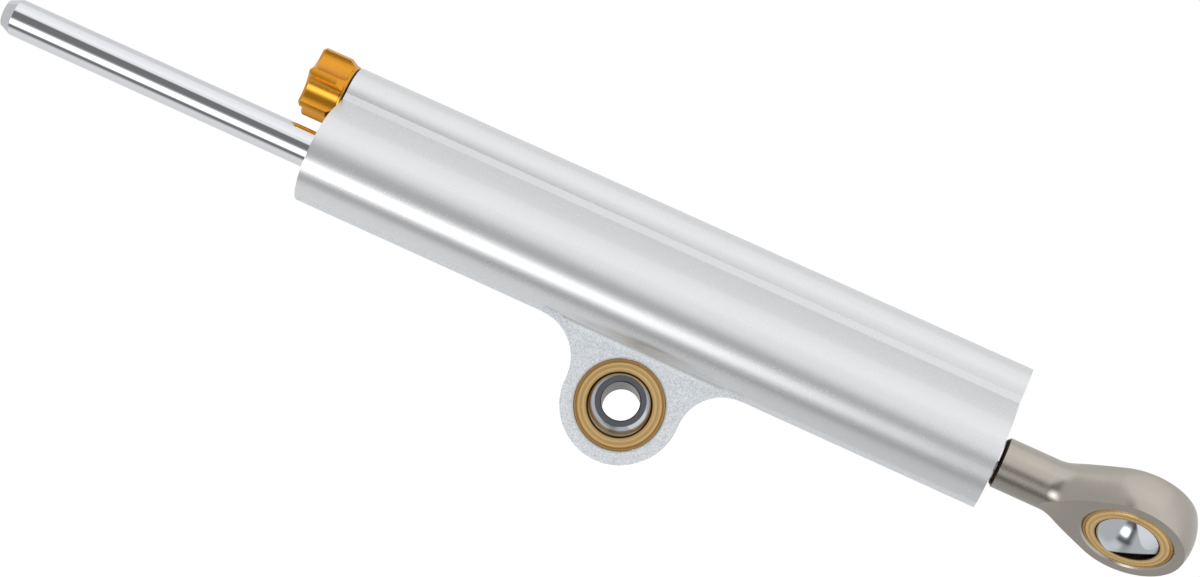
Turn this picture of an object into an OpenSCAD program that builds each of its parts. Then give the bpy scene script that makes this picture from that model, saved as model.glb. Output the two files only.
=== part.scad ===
// Through-rod steering damper: a main tube with a parallel adjuster tube and a bearing lug, a rod
// that slides and turns through both ends, a rod end with a spherical bearing, and a fluted knob.
// Millimetres. The origin is the centre of the lug's bearing, +X runs along the rod to the rod
// end, +Z goes from the lug up to the rod, and the lug's bolt lies along Y. The adjuster tube stands
// above the main tube, turned to the far side (+Y).

/* [Main tube] */
// Wall of the main tube round the glands
body_wall = 2.65; // [2:0.05:4]
// Distance from the lug's bearing to the main tube's left end
body_left = 79.5; // [60:0.5:100]
// Bore that the piston runs in
main_bore_d = 14.6; // [13.8:0.1:18]
// Step of the counterbore at each end that holds a gland
seat_step = 0.7; // [0.5:0.1:1.5]
// Chamfer at the mouth of each counterbore
mouth_chamfer = 0.4; // [0.2:0.1:0.5]

/* [Adjuster tube] */
// Wall of the adjuster tube round the cartridge
tube_wall = 2.1; // [1.7:0.1:3]
// Wall between the two tubes where their clip grooves pass each other
bore_wall = 2.8; // [2:0.1:4]
// Turn of the adjuster tube about the rod, from straight above the lug to the far side
tube_turn = 30; // [0:5:60]
// Slope of the flat shoulder that runs from the main tube to the adjuster tube
shoulder_lean = 32.2; // [28:0.2:36]
// Angle below the adjuster tube's middle where its round side ends in a flat
cheek_turn = 27; // [22:1:30]
// Distance from the adjuster tube's round to that flat's foot, along the shoulder
cheek_step = 0.58; // [0.3:0.02:1]
// Bore of the adjuster tube
tube_bore_d = 8; // [7.4:0.1:10]
// Step of the counterbore at each end of the adjuster tube
tube_step = 0.5; // [0.3:0.1:1]
// Oil port between the two bores
port_d = 3; // [2:0.25:3.5]

/* [Stroke] */
// Travel of the rod
stroke = 68; // [40:1:90]
// Length of the piston
piston_l = 14; // [12:0.5:18]
// Length of each bump stop
bump_l = 5; // [3:0.5:8]
// Free run between the piston and a bump stop at each end of the travel
bump_gap = 2.25; // [0.5:0.25:4]

/* [Frame lug] */
// Web between the bearing's seat and the main tube
lug_web = 1.35; // [0.8:0.05:8]
// Rim of the lug round the race
lug_rim = 2.9; // [2.2:0.1:5]
// Radius of the flanks where the lug runs into the main tube
flank_r = 10; // [8:0.5:12]
// Radius of the blend between the lug's faces and the main tube
blend_r = 3; // [1.5:0.25:3.5]
// Chamfer around the bearing's seat
seat_chamfer = 0.35; // [0.1:0.05:0.5]

/* [Spherical bearings] */
// Diameter of the ball
ball_d = 15.875; // [15.5:0.005:16.2]
// Width of the ball
ball_w = 12; // [11:0.5:12.5]
// Bolt hole through the ball
bolt_d = 8; // [6:0.5:9]
// Wall of the race round the ball's middle
race_wall = 1.5625; // [1.3:0.0125:1.8]
// Width of the race
race_w = 9; // [8.5:0.1:9]
// Depth of the race below each face of the lug and the rod end
race_inset = 0.1; // [0:0.05:0.4]
// Opening of the race's mouth round the ball
mouth_flare = 0.31; // [0.2:0.01:0.6]
// Distance from the race's edge to the staking groove in each face
stake_edge = 0.55; // [0.5:0.05:0.9]
// Lean of the lug's ball at rest, its near end toward the main tube
frame_ball_lean = 8.5; // [0:0.5:14]
// Lean of the rod end's ball at rest
rod_ball_lean = 40; // [0:1:42]
// Direction of that lean, from the rod toward the eye's far edge
rod_ball_way = 34; // [0:1:90]

/* [Rod] */
// Diameter of the rod
rod_d = 8; // [7.6:0.1:8.4]
// Length of rod that still stands out on the left at full travel
rod_spare = 4.7; // [2:0.1:10]
// Length of the rod's nose
nose_l = 2.4; // [1:0.1:4]
// Step of the rod's nose, measured across the radius
nose_step = 1.1; // [0.5:0.1:2]
// Depth of the grooves for the piston's clips
rod_groove = 0.5; // [0.3:0.1:0.8]

/* [Rod end] */
// Distance from the main tube's right end to the eye's centre with the rod fully in
eye_reach = 30.7; // [28:0.1:40]
// Rim of the eye round the race
eye_rim = 3.35; // [2.5:0.05:5]
// Slope of the neck between the shank and the eye
neck_slope = 29.3; // [24:0.1:33]
// Radius of the hollow between the shank and the neck
neck_r = 8; // [4:0.5:12]
// Diameter of the shank
shank_d = 10.85; // [10.2:0.05:12]
// Gap between the main tube and the shank with the rod fully in
shank_gap = 0.7; // [0.4:0.1:3]
// Chamfer at the end of the shank
shank_chamfer = 0.7; // [0.2:0.1:1]
// Radius of the cutter that mills the flats
flat_r = 40; // [20:1:60]
// Distance from the eye's centre to where each flat starts to run out
flat_reach = 10.8; // [10:0.1:12]
// Length of rod held in the rod end
thread_l = 14.5; // [12:0.5:17]
// Turn of the rod end about the rod at rest
eye_turn = 146.8; // [0:0.1:180]

/* [Glands] */
// Length of each gland
gland_l = 26; // [24:1:32]
// Depth of each gland below the main tube's end
gland_recess = 2.6; // [2.4:0.1:4]
// Thickness of the clips that hold the glands
clip_t = 1; // [0.8:0.1:1.2]
// Depth of the clips' grooves
clip_groove = 0.5; // [0.4:0.05:0.6]
// Section of the wiper and the rod seal across the radius
seal_wall = 2.2; // [1.8:0.1:2.6]
// Length of the wiper's pocket
wiper_l = 3.4; // [3:0.1:4]
// Wiper lip that stands out of the gland
lip_out = 0.9; // [0.4:0.1:1.4]
// Length of the rod seal's groove
seal_l = 3.8; // [3:0.1:4.4]
// Length of the rod bush
bush_l = 12; // [8:0.5:13]
// Wall of the rod bush
bush_wall = 1; // [0.7:0.1:1.4]
// Thickness of the land beside each pocket
gland_land = 1.8; // [1.2:0.1:2.2]
// Section of the gland's o-ring
gland_ring = 1.5; // [1.2:0.1:1.6]

/* [Knob] */
// Height of the knob's lobes above its neck
knob_step = 1; // [0.5:0.1:1.8]
// Length of the knob
knob_l = 8.45; // [8:0.05:12]
// Step of the knob's neck above the adjuster tube
neck_step = 0.05; // [-0.3:0.05:0.3]
// Length of the neck
neck_l = 0.55; // [0.4:0.05:1]
// Length of the cone between the neck and the lobes
cone_l = 1.5; // [0.5:0.1:2.5]
// Number of flutes
flutes = 6; // [4:1:8]
// Depth of the flutes
flute_depth = 1.9; // [1:0.1:2.1]
// Radius of the flutes
flute_r = 4.6; // [3:0.1:5.4]
// Turn of the first flute from the top toward the far side
flute_turn = 12; // [0:1:60]
// Depth of the dish in the knob's end
dish_h = 0.8; // [0.4:0.1:1.2]
// Rim of the knob round the dish
dish_rim = 2.7; // [1.2:0.1:3]
// Chamfer at the knob's outer end
knob_chamfer = 0.5; // [0.2:0.1:0.8]
// Chamfer at each flute's outer end
flute_chamfer = 0.6; // [0.2:0.1:0.8]
// Gap between the knob and the adjuster tube
knob_gap = 0.45; // [0.3:0.05:0.7]
// Section of the seal in that gap
knob_ring = 1.2; // [1:0.05:1.4]

/* [Adjuster] */
// Length of the cartridge
cartridge_l = 15; // [13:0.5:18]
// Wall of the cartridge round the needle's collar
cartridge_wall = 1.2; // [1:0.1:1.5]
// Diameter of the spindle
spindle_d = 4; // [3.6:0.1:4.4]
// Diameter of the needle
needle_d = 3.2; // [2.8:0.1:4]
// Diameter of the needle's threaded stem
stem_d = 2.4; // [2:0.1:2.6]
// Orifice in the valve seat
orifice_d = 2.2; // [1.8:0.1:2.8]
// Distance from the left oil port to the valve seat
seat_gap = 5; // [3:0.5:8]
// Length of the valve seat
seat_l = 6; // [3:0.5:8]
// Travel of the needle each way from rest
needle_travel = 0.65; // [0.4:0.05:1.5]
// Diameter of the detent balls
detent_d = 1.6; // [1.2:0.1:1.6]

/* [Compensator] */
// Length of the floating piston
float_l = 6; // [4:0.5:7]
// Length of the spring behind it
float_spring_l = 11; // [9:0.5:16]
// Wire of that spring
float_wire = 0.9; // [0.6:0.1:1]
// Length of the tube plug
plug_l = 5.5; // [5:0.5:7]
// Depth of the tube plug's clip below the adjuster tube's end
plug_depth = 2.4; // [1.5:0.1:4]

/* [Clearances] */
// Radial clearance of what slides or turns
play = 0.05; // [0.02:0.01:0.08]
// Gap between loose pieces that don't touch
clear_gap = 0.4; // [0.3:0.05:0.6]

/* [Hidden] */
$fn = 64;

// Main sizes that follow from the driving ones
seat_bore_d = main_bore_d + 2 * seat_step;
body_d = seat_bore_d + 2 * body_wall;
tube_seat_d = tube_bore_d + 2 * tube_step;
tube_d = tube_seat_d + 2 * tube_wall;
tube_gap = (seat_bore_d + tube_seat_d) / 2 + clip_groove + bore_wall;
race_d = ball_d + 2 * race_wall;
lug_drop = (body_d + race_d) / 2 + lug_web;
lug_d = race_d + 2 * lug_rim;
lug_t = race_w + 2 * race_inset;
eye_d = race_d + 2 * eye_rim;
eye_t = race_w + 2 * race_inset;
mouth_d = sqrt(pow(ball_d, 2) - pow(race_w, 2)) + 2 * mouth_flare;
stake_d = race_d - 2 * stake_edge;
pocket_d = rod_d + 2 * seal_wall;
bush_d = rod_d + 2 * bush_wall;
neck_d = tube_d + 2 * neck_step;
knob_d = neck_d + 2 * knob_step;
flute_floor_d = knob_d - 2 * flute_depth;
dish_d = knob_d - 2 * dish_rim;
collar_d = tube_seat_d - 2 * cartridge_wall;
chamber_l = stroke + piston_l + 2 * (bump_l + bump_gap);
gland_depth = gland_recess + gland_l;
body_right = chamber_l + 2 * gland_depth - body_left;
rod_z = lug_drop;
tube_y = tube_gap * sin(tube_turn);
tube_z = rod_z + tube_gap * cos(tube_turn);
body_r = body_d / 2;
tube_r = tube_d / 2;
tube_left = -body_left;
tube_right = body_right;
chamber_left = -body_left + gland_depth;
chamber_right = body_right - gland_depth;
piston_x = (chamber_left + chamber_right - stroke) / 2;
piston_clip_x = (piston_l + clip_t) / 2 + play;
over = 1;

// Points of the shoulder beside the adjuster tube, in the cross-section with that tube on top
shoulder_low = body_r * [cos(shoulder_lean), sin(shoulder_lean)];
shoulder_foot = body_r - tube_gap * sin(shoulder_lean);
shoulder_run = sqrt(pow(tube_r, 2) - pow(shoulder_foot, 2)) + cheek_step;
cheek_foot = [shoulder_foot * cos(shoulder_lean) + shoulder_run * sin(shoulder_lean),
    tube_gap + shoulder_foot * sin(shoulder_lean) - shoulder_run * cos(shoulder_lean)];
cheek_top = [tube_r * cos(cheek_turn), tube_gap - tube_r * sin(cheek_turn)];

// Rod end: its centre, the neck's line and the place where the eye leaves it
eye_x = body_right + eye_reach;
eye_r = eye_d / 2;
shank_r = shank_d / 2;
shank_x = body_right + shank_gap - eye_x;
neck_top = eye_r * [cos(neck_slope), -sin(neck_slope)];
neck_foot = neck_top[1] - (neck_top[0] - shank_r) / tan(neck_slope);
neck_run = neck_r * tan(neck_slope / 2);

// Glands, measured inward from the main tube's end
seal_s = gland_recess + wiper_l + gland_land;
bush_s = seal_s + seal_l + gland_land;
gland_ring_s = gland_recess + gland_l / 2;
clip_ear_r = 1.2;
clip_w = 1.5;

// Adjuster, measured inward from the adjuster tube's left end
spindle_flange_s = 2.8;
spindle_flange_t = 1.1;
spindle_flange_d = collar_d - 2 * clear_gap;
spindle_end_s = cartridge_l - 3 - 2 * needle_travel;
spindle_clip_t = 0.7;
collar_l = 2;
collar_s = cartridge_l - needle_travel - collar_l;
port_left = chamber_left + port_d / 2 + clear_gap;
port_right = chamber_right - port_d / 2 - clear_gap;
seat_x = port_left + port_d / 2 + seat_gap;
needle_tip_x = seat_x + 1;
needle_shoulder_x = seat_x - needle_travel - 1.2;
detent_ring_r = (spindle_d / 2 + tube_seat_d / 2) / 2;
detent_pocket_l = 3.6;
screw_d = 2.4;
screw_l = 5;
knob_bore_l = 5.6;
knob_ring_out = neck_d - 1;

// Compensator, measured along X
plug_clip_t = 0.8;
plug_recess = plug_depth + plug_clip_t;
plug_x = tube_right - plug_recess - plug_l;
spring_x = plug_x - float_spring_l;
float_x = spring_x - float_l;
float_coils = 7;

// Places for shapes drawn along Z
module on_rod(x) {
    translate([x, 0, rod_z]) rotate([0, 90, 0]) children();
}
module on_tube(x) {
    translate([x, tube_y, tube_z]) rotate([0, 90, 0]) children();
}
// Drawn inward from one end of the main tube: side -1 is the left end, 1 the right end
module from_end(side) {
    translate([side < 0 ? -body_left : body_right, 0, rod_z])
        rotate([0, -90 * side, 0]) children();
}
// Drawn outward from the adjuster tube's left end, with the sketch's X upward
module off_tube() {
    translate([tube_left, tube_y, tube_z]) rotate([0, -90, 0]) children();
}
// Drawn inward from the adjuster tube's right end
module into_tube() {
    translate([tube_right, tube_y, tube_z]) rotate([0, -90, 0]) children();
}

// Round shapes that repeat
module sleeve(outer, inner, len) {
    rotate_extrude() translate([inner / 2, 0]) square([(outer - inner) / 2, len]);
}
module o_ring(outer, inner) {
    rotate_extrude() translate([(outer + inner) / 4, 0]) circle(d = (outer - inner) / 2);
}
module chamfered_hole(d, len, c) {
    translate([0, 0, -over]) cylinder(d = d, h = len + 2 * over);
    translate([0, 0, -c]) cylinder(r1 = d / 2 + 2 * c, r2 = d / 2, h = 2 * c);
    translate([0, 0, len - c]) cylinder(r1 = d / 2, r2 = d / 2 + 2 * c, h = 2 * c);
}
// Internal clip with two holed ears beside its gap
module bore_clip(outer, width, ear, thick) {
    ear_turn = 90 * ear / (outer / 2 - width);
    ear_at = outer / 2 - width - ear * 0.5;
    linear_extrude(thick) difference() {
        union() {
            difference() {
                circle(d = outer);
                circle(d = outer - 2 * width);
            }
            for (s = [-1, 1]) rotate(s * ear_turn) translate([ear_at, 0]) circle(r = ear);
        }
        translate([0, -ear * 0.7]) square([outer, ear * 1.4]);
        for (s = [-1, 1]) rotate(s * ear_turn) translate([ear_at, 0]) circle(r = ear * 0.4);
        difference() {
            circle(d = outer * 2);
            circle(d = outer);
        }
    }
}

// Cross-section of the body, its main tube about the sketch's origin
module body_section() {
    circle(r = body_r);
    rotate(-tube_turn) {
        translate([0, tube_gap]) circle(r = tube_r);
        for (side = [0, 1]) mirror([side, 0])
            polygon([[0, 0], shoulder_low, cheek_foot, cheek_top, [0, tube_gap]]);
    }
}
module along_x(from, to) {
    translate([from, 0, rod_z]) rotate([90, 0, 90]) linear_extrude(to - from) children();
}
// Outline of the lug seen along its bolt, up to a line inside the main tube
module lug_outline(rise) {
    flank_z = rod_z - body_r + rise - flank_r;
    flank_x = sqrt(pow(lug_d / 2 + flank_r, 2) - pow(flank_z, 2));
    touch = lug_d / 2 / (lug_d / 2 + flank_r);
    difference() {
        polygon([[-flank_x * touch, flank_z * touch], [flank_x * touch, flank_z * touch],
            [flank_x, flank_z + flank_r], [flank_x, flank_z + flank_r + 2],
            [-flank_x, flank_z + flank_r + 2], [-flank_x, flank_z + flank_r]]);
        for (s = [-1, 1]) translate([s * flank_x, flank_z]) circle(r = flank_r);
    }
}
module along_y(thick) {
    translate([0, thick / 2, 0]) rotate([90, 0, 0]) linear_extrude(thick) children();
}
// Blend between the lug's faces and the main tube, in the cross-section
module lug_blend() {
    y = lug_t / 2 + blend_r;
    drop = sqrt(pow(body_r + blend_r, 2) - y * y);
    touch = body_r / (body_r + blend_r);
    difference() {
        polygon([[-lug_t / 2, -drop], [lug_t / 2, -drop], [y * touch, -drop * touch],
            [0, -body_r / 2], [-y * touch, -drop * touch]]);
        for (s = [-1, 1]) translate([s * y, -drop]) circle(r = blend_r);
    }
}
module bearing_bore(width) {
    translate([0, 0, -width / 2]) chamfered_hole(race_d + 2 * play, width, seat_chamfer);
}

module housing() {
    blend_rise = 2;
    color("gainsboro") difference() {
        union() {
            along_x(-body_left, body_right) body_section();
            rotate([90, 0, 0]) translate([0, 0, -lug_t / 2]) cylinder(d = lug_d, h = lug_t);
            along_y(lug_t) lug_outline(0.03);
            intersection() {
                along_y(body_d) lug_outline(blend_rise);
                along_x(-body_left / 2, body_left / 2) lug_blend();
            }
        }
        on_rod(-body_left - over) cylinder(d = main_bore_d, h = body_left + body_right + 2 * over);
        for (side = [-1, 1]) from_end(side) {
            translate([0, 0, -over]) cylinder(d = seat_bore_d, h = gland_depth + over);
            translate([0, 0, gland_recess - clip_t])
                cylinder(d = seat_bore_d + 2 * clip_groove, h = clip_t);
            translate([0, 0, -mouth_chamfer])
                cylinder(r1 = seat_bore_d / 2 + 2 * mouth_chamfer, r2 = seat_bore_d / 2,
                    h = 2 * mouth_chamfer);
        }
        on_tube(tube_left - over) cylinder(d = tube_bore_d, h = tube_right - tube_left + 2 * over);
        on_tube(tube_left - over) cylinder(d = tube_seat_d, h = cartridge_l + over);
        into_tube() {
            translate([0, 0, -over]) cylinder(d = tube_seat_d, h = plug_recess + plug_l + over);
            translate([0, 0, plug_recess - plug_clip_t])
                cylinder(d = tube_seat_d + 2 * clip_groove, h = plug_clip_t);
        }
        for (x = [port_left, port_right])
            translate([x, 0, rod_z]) rotate([-tube_turn, 0, 0]) cylinder(d = port_d, h = tube_gap);
        rotate([90, 0, 0]) bearing_bore(lug_t);
    }
}

// Spherical bearings
module race() {
    c = 0.3;
    hollow_r = ball_d / 2 + play;
    cone_h = 1.2;
    groove = 0.35;
    difference() {
        rotate_extrude() polygon([[0, -race_w / 2], [race_d / 2 - c, -race_w / 2],
            [race_d / 2, -race_w / 2 + c], [race_d / 2, race_w / 2 - c],
            [race_d / 2 - c, race_w / 2], [0, race_w / 2]]);
        sphere(r = hollow_r);
        for (s = [0, 1]) mirror([0, 0, s]) {
            translate([0, 0, race_w / 2 - cone_h])
                cylinder(d1 = mouth_d - 2 * cone_h, d2 = mouth_d, h = cone_h);
            translate([0, 0, race_w / 2 - over]) cylinder(d = mouth_d - 2 * cone_h, h = 2 * over);
            rotate_extrude() polygon([[stake_d / 2 - groove, race_w / 2 + 0.01],
                [stake_d / 2, race_w / 2 - groove], [stake_d / 2 + groove / 2, race_w / 2 + 0.01]]);
        }
    }
}
module ball() {
    difference() {
        intersection() {
            sphere(d = ball_d);
            translate([0, 0, -ball_w / 2]) cylinder(d = ball_d + 2, h = ball_w);
        }
        translate([0, 0, -ball_w / 2]) chamfered_hole(bolt_d, ball_w, 0.25);
    }
}
module at_eye() {
    translate([eye_x, 0, rod_z]) rotate([eye_turn, 0, 0]) children();
}
module frame_race() {
    color("darkgoldenrod") rotate([90, 0, 0]) race();
}
module frame_ball() {
    color("silver") rotate([90 - frame_ball_lean, 0, 0]) ball();
}
module rod_end_race() {
    color("darkgoldenrod") at_eye() race();
}
module rod_end_ball() {
    color("silver") at_eye()
        rotate(a = rod_ball_lean, v = [cos(rod_ball_way), sin(rod_ball_way), 0]) ball();
}

// Rod and rod end
module neck_profile() {
    difference() {
        union() {
            circle(r = eye_r);
            translate([-shank_r, shank_x]) square([2 * shank_r, -shank_x]);
            polygon([[-neck_top[0], neck_top[1]], [-shank_r, neck_foot], [shank_r, neck_foot],
                neck_top]);
            difference() {
                polygon([[0, neck_foot - neck_run], [shank_r, neck_foot - neck_run],
                    [shank_r + neck_run * sin(neck_slope), neck_foot + neck_run * cos(neck_slope)],
                    [0, neck_foot + neck_run * cos(neck_slope)]]);
                translate([shank_r + neck_r, neck_foot - neck_run]) circle(r = neck_r);
            }
        }
        translate([-eye_d, -eye_d * 2]) square([eye_d, eye_d * 4]);
        polygon([[shank_r - shank_chamfer, shank_x - 0.01], [shank_r + over, shank_x - 0.01],
            [shank_r + over, shank_x + shank_chamfer + over], [shank_r, shank_x + shank_chamfer]]);
    }
}
// Side view of what the milling leaves between the flats
module flats_profile() {
    h = eye_t / 2;
    difference() {
        translate([shank_x - over, -eye_d]) square([eye_r - shank_x + 2 * over, 2 * eye_d]);
        for (s = [-1, 1]) {
            translate([-flat_reach, s * (h + flat_r)]) circle(r = flat_r);
            translate([-flat_reach, s > 0 ? h : -h - 2 * eye_d]) square([eye_d * 2, 2 * eye_d]);
        }
    }
}
module rod_end() {
    color("darkgray") at_eye() difference() {
        intersection() {
            rotate([0, 90, 0]) rotate_extrude() neck_profile();
            along_y(2 * eye_d) flats_profile();
        }
        bearing_bore(eye_t);
        translate([shank_x - over, 0, 0]) rotate([0, 90, 0])
            cylinder(d = rod_d + 2 * play, h = thread_l + clear_gap + over);
    }
}
module piston_rod() {
    tip_x = -body_left - stroke - rod_spare;
    end_x = body_right + shank_gap + thread_l;
    len = end_x - tip_x;
    color("silver") difference() {
        on_rod(tip_x) rotate_extrude() polygon([[0, 0], [rod_d / 2 - nose_step, 0],
            [rod_d / 2, nose_l], [rod_d / 2, len - 0.8], [rod_d / 2 - 0.8, len], [0, len]]);
        for (side = [-1, 1]) on_rod(piston_x + side * piston_clip_x)
            translate([0, 0, -clip_t / 2]) sleeve(rod_d + over, rod_d - 2 * rod_groove, clip_t);
    }
}

// Piston group
module piston() {
    ring_w = 3.2;
    ring_d = main_bore_d - 2 * (play + 2.4);
    color("slategray") on_rod(piston_x - piston_l / 2) difference() {
        sleeve(main_bore_d - 2 * play, rod_d + 2 * play, piston_l);
        translate([0, 0, (piston_l - ring_w) / 2]) sleeve(main_bore_d + over, ring_d, ring_w);
    }
}
module piston_oring() {
    color("black") on_rod(piston_x)
        o_ring(main_bore_d - 2 * (play + 1.1), main_bore_d - 2 * (play + 2.4) + 2 * play);
}
module piston_ring() {
    ring_w = 3;
    color("saddlebrown") on_rod(piston_x - ring_w / 2)
        sleeve(main_bore_d - 2 * play, main_bore_d - 2 * (play + 1.05), ring_w);
}
module piston_clips() {
    color("dimgray") for (side = [-1, 1]) on_rod(piston_x + side * piston_clip_x)
        translate([0, 0, -clip_t / 2]) sleeve(rod_d + 3, rod_d - 2 * rod_groove, clip_t);
}
module bump_stop(side) {
    color("gold") from_end(side) translate([0, 0, gland_depth])
        sleeve(main_bore_d - 2, rod_d + 2 * clear_gap, bump_l);
}
module bump_stop_left() bump_stop(-1);
module bump_stop_right() bump_stop(1);

// Gland group, one set for each end of the main tube
module gland(side) {
    end_s = gland_recess + gland_l;
    gland_d = seat_bore_d - 2 * play;
    ring_floor = seat_bore_d - 2 * gland_ring;
    color("dimgray") from_end(side) difference() {
        translate([0, 0, gland_recess]) sleeve(gland_d, rod_d + 2 * clear_gap, gland_l);
        translate([0, 0, gland_recess - over]) cylinder(d = pocket_d, h = wiper_l + over);
        translate([0, 0, seal_s]) cylinder(d = pocket_d, h = seal_l);
        translate([0, 0, bush_s]) cylinder(d = bush_d, h = end_s - bush_s + over);
        translate([0, 0, gland_ring_s - gland_ring * 0.65])
            sleeve(gland_d + over, ring_floor, gland_ring * 1.3);
    }
}
module gland_left() gland(-1);
module gland_right() gland(1);
module gland_clip(side) {
    color("dimgray") from_end(side) translate([0, 0, gland_recess - clip_t])
        rotate(side * 35) bore_clip(seat_bore_d + 2 * clip_groove - 2 * play, clip_w, clip_ear_r,
            clip_t);
}
module gland_clip_left() gland_clip(-1);
module gland_clip_right() gland_clip(1);
module gland_oring(side) {
    color("black") from_end(side) translate([0, 0, gland_ring_s])
        o_ring(seat_bore_d - play, seat_bore_d - 2 * gland_ring + play);
}
module gland_oring_left() gland_oring(-1);
module gland_oring_right() gland_oring(1);
// Lip seal with a hollow toward the oil
module rod_seal(side) {
    outer = pocket_d / 2 - play;
    inner = rod_d / 2 + play;
    mid = (outer + inner) / 2;
    color("darkslategray") from_end(side) translate([0, 0, seal_s]) rotate_extrude()
        polygon([[inner, 0], [outer, 0], [outer, seal_l], [mid + 0.3, seal_l],
            [mid, seal_l / 2], [mid - 0.3, seal_l], [inner, seal_l]]);
}
module rod_seal_left() rod_seal(-1);
module rod_seal_right() rod_seal(1);
// Wiper with a lip that stands out of the gland around the rod
module rod_wiper(side) {
    outer = pocket_d / 2 - play;
    inner = rod_d / 2 + play;
    color("black") from_end(side) translate([0, 0, gland_recess]) rotate_extrude()
        polygon([[inner, -lip_out], [inner + 0.5, -lip_out], [inner + 1.1, 0.3], [outer - 0.6, 0.3],
            [outer - 0.4, 0], [outer, 0], [outer, wiper_l], [inner + 0.5, wiper_l], [inner, 1.4]]);
}
module rod_wiper_left() rod_wiper(-1);
module rod_wiper_right() rod_wiper(1);
module rod_bush(side) {
    color("peru") from_end(side) translate([0, 0, bush_s])
        sleeve(bush_d - 2 * play, rod_d + 2 * play, bush_l);
}
module rod_bush_left() rod_bush(-1);
module rod_bush_right() rod_bush(1);

// Knob group, drawn outward from the adjuster tube's end
module adjuster_knob() {
    knob_r = knob_d / 2;
    edge = 0.25;
    top = knob_gap + knob_l;
    flute_at = flute_floor_d / 2 + flute_r;
    color("goldenrod") off_tube() difference() {
        rotate_extrude() polygon([[0, knob_gap], [neck_d / 2 - edge, knob_gap],
            [neck_d / 2, knob_gap + edge], [neck_d / 2, knob_gap + neck_l],
            [knob_r, knob_gap + neck_l + cone_l], [knob_r, top - knob_chamfer],
            [knob_r - knob_chamfer, top], [0, top]]);
        for (k = [0 : flutes - 1]) rotate(flute_turn + k * 360 / flutes)
            translate([flute_at, 0, 0]) {
                translate([0, 0, knob_gap + neck_l]) cylinder(r = flute_r, h = knob_l);
                translate([0, 0, top - flute_chamfer])
                    cylinder(r1 = flute_r, r2 = flute_r + 2 * flute_chamfer, h = 2 * flute_chamfer);
            }
        translate([0, 0, top - dish_h]) cylinder(d = dish_d, h = dish_h + over);
        translate([0, 0, knob_gap - over]) cylinder(d = spindle_d + 2 * play, h = knob_bore_l + over);
        cylinder(d = screw_d + 2 * clear_gap, h = top);
        translate([0, 0, knob_gap - over]) sleeve(knob_ring_out + 2 * play,
            knob_ring_out - 2 * knob_ring - 2 * play, knob_ring - knob_gap + play + over);
        for (k = [0, 1]) rotate(k * 180) translate([detent_ring_r, 0, knob_gap - over])
            cylinder(d = detent_d + 2 * play, h = detent_pocket_l + over);
    }
}
module knob_seal() {
    color("black") off_tube() translate([0, 0, knob_ring / 2 + play / 2])
        o_ring(knob_ring_out, knob_ring_out - 2 * knob_ring + play);
}
// Button-head screw in the knob's dish
module knob_screw() {
    dish = knob_gap + knob_l - dish_h;
    head_h = 1.3;
    color("dimgray") off_tube() difference() {
        union() {
            translate([0, 0, dish - screw_l]) cylinder(d = screw_d, h = screw_l + over / 2);
            translate([0, 0, dish]) intersection() {
                cylinder(d = screw_d * 2, h = head_h);
                translate([0, 0, head_h - screw_d * 1.3]) sphere(r = screw_d * 1.3);
            }
        }
        translate([0, 0, dish + head_h - 1]) cylinder(d = 1.5 / cos(30), h = 2, $fn = 6);
    }
}
module adjuster_spindle() {
    outer_s = knob_gap + knob_bore_l - clear_gap;
    color("lightgray") off_tube() difference() {
        union() {
            translate([0, 0, -spindle_end_s]) cylinder(d = spindle_d, h = spindle_end_s + outer_s);
            translate([0, 0, -spindle_flange_s - spindle_flange_t - play])
                cylinder(d = spindle_flange_d, h = spindle_flange_t);
        }
        translate([0, 0, -spindle_end_s - over])
            cylinder(d = stem_d + 2 * play, h = spindle_end_s - spindle_flange_s + over);
        translate([0, 0, knob_gap + knob_l - dish_h - screw_l - clear_gap])
            cylinder(d = screw_d + 2 * play, h = screw_l + dish_h);
    }
}
module detent_balls() {
    color("silver") off_tube() for (k = [0, 1]) rotate(k * 180)
        translate([detent_ring_r, 0, detent_d / 2 + play]) sphere(d = detent_d);
}
module detent_springs() {
    start = detent_d + 2 * play;
    color("gray") off_tube() for (k = [0, 1]) rotate(k * 180) translate([detent_ring_r, 0, start])
        sleeve(detent_d - 2 * play, detent_d / 2, knob_gap + detent_pocket_l - start);
}

// Adjuster group, drawn inward from the adjuster tube's left end
module adjuster_cartridge() {
    groove_s = 0.7;
    color("burlywood") on_tube(tube_left) difference() {
        sleeve(tube_seat_d - 2 * play, spindle_d + 2 * play, cartridge_l);
        translate([0, 0, spindle_flange_s]) cylinder(d = collar_d, h = cartridge_l);
        translate([0, 0, spindle_flange_s + spindle_flange_t + 2 * play])
            cylinder(d = collar_d + 2 * clear_gap, h = spindle_clip_t);
        translate([0, 0, groove_s]) cylinder(d = spindle_d + 2, h = 1.4);
        translate([0, 0, cartridge_l - 4]) sleeve(tube_seat_d + over, tube_seat_d - 1.7, 1.5);
    }
}
module cartridge_oring() {
    color("black") on_tube(tube_left + cartridge_l - 3.25)
        o_ring(tube_seat_d - play, tube_seat_d - 1.7 + play);
}
module spindle_oring() {
    color("black") on_tube(tube_left + 1.4) o_ring(spindle_d + 2 - play, spindle_d + 2 * play);
}
module spindle_clip() {
    color("dimgray") on_tube(tube_left + spindle_flange_s + spindle_flange_t + 2 * play)
        sleeve(collar_d + 2 * clear_gap - 2 * play, spindle_d + 2 * clear_gap, spindle_clip_t);
}
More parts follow.
